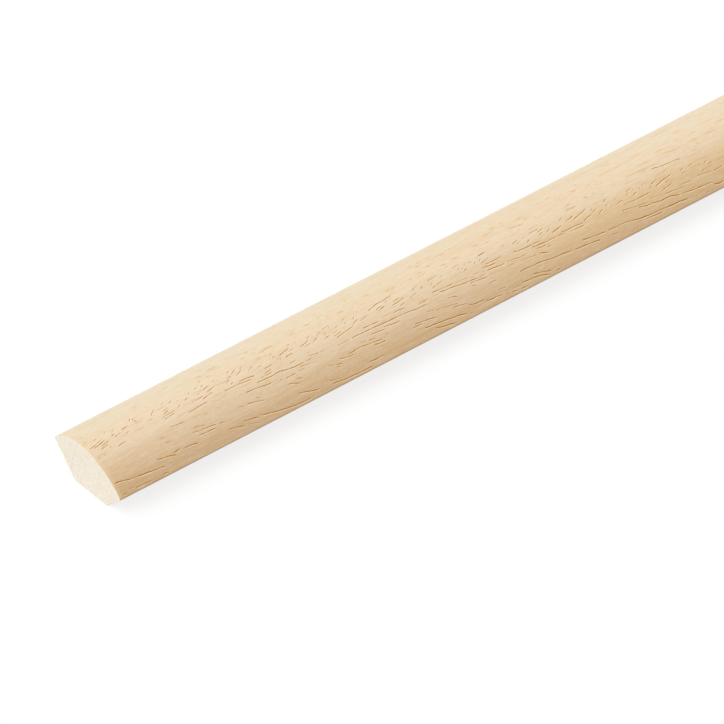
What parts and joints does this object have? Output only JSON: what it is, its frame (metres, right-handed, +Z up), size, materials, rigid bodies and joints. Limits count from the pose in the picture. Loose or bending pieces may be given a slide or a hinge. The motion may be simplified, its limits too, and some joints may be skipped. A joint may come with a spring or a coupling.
{
  "type": "quarter round moulding",
  "caption": "Long straight strip of pale wood with a quarter round section and a planed-off back corner, for covering the joint between a wall and a floor.",
  "frame": {"origin": "middle of the bottom of the box round the strip, on the plane of the relief bevel that it lies on", "axes": "+X along the length, +Y towards the wall leg's tip, +Z up, square to the relief bevel"},
  "size_m": [2.3876, 0.0242, 0.012],
  "materials": {
    "wood": "satin clear coat on the faces, bare sawn wood on the two ends"
  },
  "bodies": {
    "root": {"quarter_round": "wood"}
  },
  "joints": []
}
